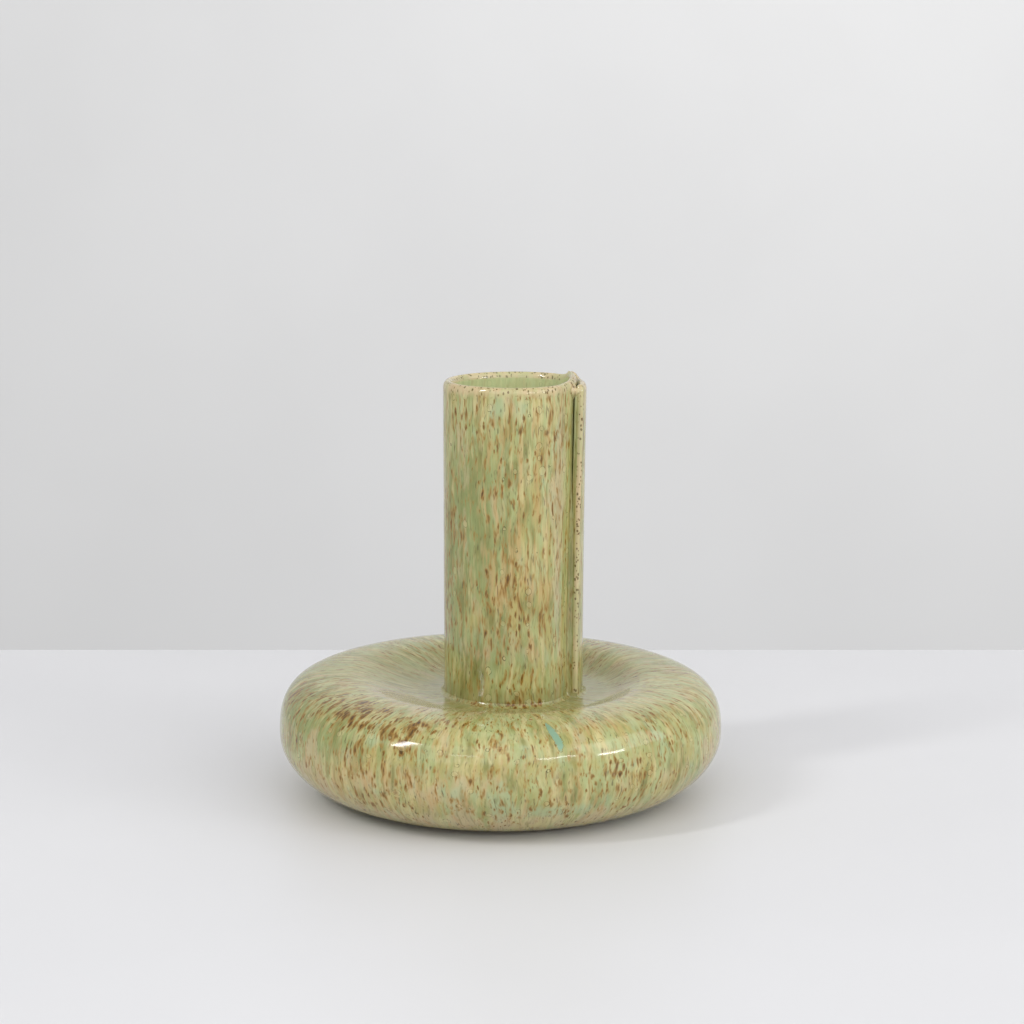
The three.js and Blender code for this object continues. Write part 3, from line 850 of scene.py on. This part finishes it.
def glazed_stoneware(colours):
    """Runny celadon glaze on stoneware: a glassy coat that ran down in green, straw and cream streaks, with
    blotches of iron drawn out by the flow, amber stains round them, fine dashes and ring marks of bubbles."""
    material, tree = new_material("runny_celadon_glaze")
    fields = {}
    for field in ("thin", "pool", "lining", "bare", *RING_PLACES):
        fields[field] = add(tree, "Attribute", attribute_name=field)["Fac"]

    def raised(value, **weights):
        """The value raised by each named field times its weight."""
        for field, weight in weights.items():
            terms = {0: fields[field], 1: weight, 2: value}
            value = add(tree, "Math", terms, operation="MULTIPLY_ADD")[0]
        return value

    # The runs wander: clouds of 14 mm push them up to about a millimetre aside
    raw = add(tree, "Attribute", attribute_name="flow")["Vector"]
    bend = add(tree, "TexNoise", {"Vector": raw, "Scale": per_size(14), "Detail": 1.0})[1]
    centred = add(tree, "VectorMath", {0: bend, 1: (0.5, 0.5, 0.5)}, operation="SUBTRACT")[0]
    bent = {0: centred, 1: (2.6 * MM, 2.6 * MM, 5 * MM), 2: raw}
    flow = add(tree, "VectorMath", bent, operation="MULTIPLY_ADD")[0]

    # The iron comes in clusters of about 20 mm
    clusters = {0: cloud(tree, flow, 20, 1.8, 1.0), 1: 1.7, 2: -0.9}
    fields["iron"] = raised(add(tree, "Math", clusters, operation="MULTIPLY_ADD")[0], iron=1)

    # Each cloud has its width in millimetres and how much longer than wide it is, and each layer its colour, its
    # value, where that colour begins and is full, and how strong it is then
    ground = cloud(tree, flow, 10, 2.4)
    straw = cloud(tree, flow, 4.5, 7)
    blush = cloud(tree, flow, 9, 2.6)
    smears = raised(cloud(tree, flow, 2, 4.3, 2.0), iron=0.09, pale=-0.06)
    broken = cloud(tree, flow, 1.1, 1, 1.0)
    layers = [
        (colours.celadon, ground, 0.38, 0.6, 1),
        (colours.straw, raised(straw, tan=0.12, green=-0.12), 0.44, 0.66, 0.7),
        (colours.olive, raised(cloud(tree, flow, 5.5, 5), green=0.14), 0.52, 0.72, 0.8),
        (colours.moss, raised(ground, green=0.3), 0.56, 0.8, 0.75),
        # Cream comes in more where the pale field is, which low on the ring is painted light
        (colours.cream, raised(cloud(tree, flow, 2.6, 9, 2.0), green=-0.08, pale=0.2), 0.46, 0.7, 0.6),
        (colours.pink_beige, raised(blush, blush=0.25), 0.55, 0.74, 0.7),
        (colours.mint, raised(cloud(tree, flow, 7, 3, 2.0), mint=0.22), 0.58, 0.8, 0.65),
        (colours.tan, raised(cloud(tree, flow, 2.2, 9), tan=0.12), 0.54, 0.74, 0.6),
        (colours.olive, cloud(tree, flow, 1.3, 10, 2.0), 0.52, 0.72, 0.5),
        (colours.amber, smears, 0.53, 0.68, 0.65),
        (colours.rust, smears, 0.62, 0.74, 0.75),
        (colours.speck, smears, 0.7, 0.8, 0.6),
        (colours.ink, line_at(tree, straw, 0.55, 0.006), 0, 1, 0.08),
        # Pooled glaze, which also stands as painted shade in the dish, at the neck's foot and in the crevice
        (colours.pool, fields["pool"], 0, 1, 0.5),
    ]

    # Large and small iron drops, with an amber stain, a rusty rim and a dark heart
    for cell, stretch, radius, heart in ((3.9, 2.8, 0.21, 0.85), (2.1, 3.6, 0.24, 0.6)):
        depth = raised(drops(tree, flow, cell, stretch, 0.7, radius, 0.6), iron=0.22)
        layers.append((colours.amber, depth, -0.02, 0.14, 0.6))
        layers.append((colours.rust, depth, 0.06, 0.2, 0.8))
        layers.append((colours.speck, depth, 0.16, 0.34, heart))

    # Fine dashes, broken ring marks, the painted light on the inner wall of the neck and the one drop of copper
    # glaze with its dark rim
    marks = drops(tree, flow, 6, 1.15, 0.32, 0.24, 0.16)
    ring = add(tree, "Math", {0: line_at(tree, marks, 0, 0.035), 1: broken}, operation="MULTIPLY")[0]
    ragged = add(tree, "Math", {0: broken, 1: 0.6, 2: fields["drop"]}, operation="MULTIPLY_ADD")[0]
    layers += [
        (colours.speck, raised(cloud(tree, flow, 0.8, 6, 1.0), iron=0.04), 0.6, 0.78, 0.6),
        (colours.cream, marks, 0, 0.02, 0.25),
        (colours.ink, ring, 0.2, 0.5, 0.75),
        (colours.lining, fields["lining"], 0.2, 1, 0.6),
        (colours.turquoise, ragged, 0.72, 0.95, 0.85),
        (colours.ink, line_at(tree, ragged, 0.74, 0.08), 0.2, 0.9, 0.6),
    ]

    # Edges where the glaze ran thin are bisque with freckles, and the foot is bare clay
    freckles = drops(tree, flow, 1.5, 1.3, 0.9, 0.36, 0.35)
    edge_layers = [
        (colours.celadon, blush, 0.42, 0.62, 0.6),
        (colours.rust, freckles, 0, 0.1, 0.8),
        (colours.speck, freckles, 0.06, 0.16, 0.85),
    ]
    layers.append((layered(tree, colours.bisque, edge_layers), fields["thin"], 0, 1, 0.8))
    layers.append((colours.clay, fields["bare"], 0, 1, 1))

    wobble = add(tree, "TexNoise", {"Vector": flow, "Scale": per_size(9), "Detail": 1.0})[0]
    surface = add(tree, "Bump", {"Strength": 0.18, "Distance": 0.6 * MM, "Height": wobble})[0]
    rough = add(tree, "MapRange", {"Value": fields["bare"], "To Min": 0.125, "To Max": 0.8})[0]
    shade = layered(tree, colours.sage, layers)
    skin = {"Base Color": shade, "Roughness": rough, "IOR": 1.52, "Normal": surface}
    add(tree, "OutputMaterial", {0: add(tree, "BsdfPrincipled", skin)[0]})
    return material


def bare_clay(colours):
    """Buff stoneware, fired bare: matt, with fine grog of about 0.6 mm and cloudy iron staining."""
    material, tree = new_material("bare_buff_stoneware")
    place = add(tree, "TexCoord")["Object"]
    grog = cloud(tree, place, 0.6, 1)
    stain = cloud(tree, place, 14, 1)
    layers = [(colours.tan, stain, 0.4, 0.65, 0.5), (colours.rust, grog, 0.5, 0.7, 0.25)]
    surface = add(tree, "Bump", {"Strength": 0.6, "Distance": 0.2 * MM, "Height": grog})[0]
    skin = {"Base Color": layered(tree, colours.clay, layers), "Roughness": 0.85, "Normal": surface}
    add(tree, "OutputMaterial", {0: add(tree, "BsdfPrincipled", skin)[0]})
    return material


def plain_finish(name, hex_colour, roughness):
    """A plain studio surface, clouded by 3 percent in patches of 300 mm."""
    material, tree = new_material(name)
    place = add(tree, "TexCoord")["Object"]
    darker = tuple(0.97 * share for share in linear(hex_colour))
    shade = layered(tree, linear(hex_colour), [(darker, cloud(tree, place, 300, 1), 0.3, 0.7, 1)])
    skin = {"Base Color": shade, "Roughness": roughness}
    add(tree, "OutputMaterial", {0: add(tree, "BsdfPrincipled", skin)[0]})
    return material


# Stage


def stage_board(name, side, start, end, material):
    """A flat stage piece, this far to both sides, between two lines given by their depth and height."""
    mesh = bpy.data.meshes.new(name)
    corners = [(-side, *start), (side, *start), (side, *end), (-side, *end)]
    mesh.from_pydata(corners, [], [(0, 1, 2, 3)])
    mesh.materials.append(material)
    board = bpy.data.objects.new(name, mesh)
    bpy.context.scene.collection.objects.link(board)


def soft_light(name, azimuth, elevation, distance, width, height, power, target):
    """A rectangular lamp that looks at a point, at an angle from the front to the right and an elevation."""
    lamp = bpy.data.lights.new(name, "AREA")
    lamp.shape = "RECTANGLE"
    lamp.size = width
    lamp.size_y = height
    lamp.energy = power
    light = bpy.data.objects.new(name, lamp)
    turn, up = np.radians(azimuth), np.radians(elevation)
    away = Vector((np.sin(turn) * np.cos(up), -np.cos(turn) * np.cos(up), np.sin(up)))
    light.location = target + away * distance
    light.rotation_euler = (-away).to_track_quat("-Z", "Y").to_euler()
    bpy.context.scene.collection.objects.link(light)


def make_stage(studio):
    """Camera, pale table with a straight far edge, backdrop, even room light and small softboxes."""
    scene = bpy.context.scene
    camera = bpy.data.objects.new("camera", bpy.data.cameras.new("camera"))
    camera.data.sensor_width = 36
    camera.data.lens = studio.focal_length / MM
    camera.location = (studio.camera_side, -studio.camera_distance, studio.camera_height)
    camera.rotation_euler = (np.pi / 2 - studio.camera_tilt, 0, 0)
    scene.collection.objects.link(camera)
    scene.camera = camera

    table = plain_finish("matt_white_table_top", "#dadadc", 0.45)
    paper = plain_finish("pale_grey_backdrop_paper", "#cfcfcf", 0.9)
    wall = studio.wall_distance
    stage_board("table_top", 3, (-3, 0), (studio.table_edge, 0), table)
    stage_board("backdrop", 4, (wall, -2), (wall, 4), paper)

    world = bpy.data.worlds.new("room")
    world.use_nodes = True
    background = world.node_tree.nodes["Background"]
    background.inputs[0].default_value = (*linear("#fafafb"), 1)
    background.inputs[1].default_value = studio.room_light
    scene.world = world

    # Name, degrees to the right and up, distance, width and height in metres, watts, and the point looked at
    ring = Vector((0, -0.1, 0.048))
    bright_patch = Vector((0.4, wall, 0.75))
    lamps = (
        ("softbox_right", 76, 34, 2.6, 2.2, 1.5, 15, ring),
        ("white_ceiling_in_front", 8, 39, 4, 8, 4, 90, ring),
        ("wall_wash", 0, 0, 1.1, 0.8, 0.8, 4.3, bright_patch),
        ("window_left", -61.5, 41.5, 2.2, 0.2, 0.7, 12, ring),
        ("window_middle_left", -20, 29.5, 2.2, 0.5, 0.05, 0.7, ring),
        ("window_middle_right", 31, 23, 2.2, 0.75, 0.05, 2.8, ring),
        ("window_right", 61, 18, 2.2, 0.5, 0.07, 4.4, ring),
    )
    for lamp in lamps:
        soft_light(*lamp)
    scene.view_settings.view_transform = "Standard"


# Operators


def glaze(scene):
    """The one glaze of the vase, made when first asked for."""
    return bpy.data.materials.get("runny_celadon_glaze") or glazed_stoneware(scene.vase_colours)


class VASE_OT_walls(Operator):
    """Make the lower and upper walls of the body"""

    bl_idname = "vase.make_walls"
    bl_label = "Walls"

    def execute(self, context):
        scene = context.scene
        skin = whole_skin(scene.vase_body, scene.vase_neck, scene.vase_studio.segments)
        make_lower_wall(scene.vase_body, scene.vase_neck, skin, glaze(scene))
        make_upper_wall(scene.vase_body, scene.vase_neck, skin, glaze(scene))
        return {"FINISHED"}


class VASE_OT_neck(Operator):
    """Make the rolled neck, the glaze in its crevice and the coil at its foot"""

    bl_idname = "vase.make_neck"
    bl_label = "Neck"

    def execute(self, context):
        scene = context.scene
        segments = scene.vase_studio.segments
        make_neck(scene.vase_body, scene.vase_neck, segments, glaze(scene))
        make_bead(scene.vase_body, scene.vase_neck, glaze(scene))
        skin = whole_skin(scene.vase_body, scene.vase_neck, segments)
        make_foot_coil(scene.vase_body, scene.vase_neck, skin, glaze(scene))
        return {"FINISHED"}


class VASE_OT_clay(Operator):
    """Make the bare floor slab and give the hidden coil its clay"""

    bl_idname = "vase.make_clay"
    bl_label = "Bare clay"

    def execute(self, context):
        scene = context.scene
        material = bare_clay(scene.vase_colours)
        make_floor(scene.vase_body, scene.vase_studio.segments, material)
        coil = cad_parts["joint_coil"]
        coil.data.materials.clear()
        coil.data.materials.append(material)
        return {"FINISHED"}


class VASE_OT_stage(Operator):
    """Make the table, the backdrop, the lights and the camera"""

    bl_idname = "vase.make_stage"
    bl_label = "Stage"

    def execute(self, context):
        make_stage(context.scene.vase_studio)
        return {"FINISHED"}


class VASE_PT_panel(Panel):
    """Lists what makes the vase"""

    bl_idname = "VASE_PT_panel"
    bl_label = "Boule Vase"
    bl_space_type = "VIEW_3D"
    bl_region_type = "UI"
    bl_category = "Boule Vase"

    def draw(self, context):
        for operator in OPERATORS:
            self.layout.operator(operator.bl_idname)


OPERATORS = (VASE_OT_walls, VASE_OT_neck, VASE_OT_clay, VASE_OT_stage)
GROUPS = {
    "vase_body": BodySizes,
    "vase_neck": NeckSizes,
    "vase_colours": GlazeColours,
    "vase_studio": StudioSettings,
}


def register():
    for group in (*GROUPS.values(), *OPERATORS, VASE_PT_panel):
        bpy.utils.register_class(group)
    for name, group in GROUPS.items():
        setattr(bpy.types.Scene, name, PointerProperty(type=group))


def unregister():
    for name in GROUPS:
        delattr(bpy.types.Scene, name)
    for group in (VASE_PT_panel, *OPERATORS, *GROUPS.values()):
        bpy.utils.unregister_class(group)


def main():
    register()
    bpy.ops.vase.make_walls()
    bpy.ops.vase.make_neck()
    bpy.ops.vase.make_clay()
    bpy.ops.vase.make_stage()


if __name__ == "__main__":
    main()
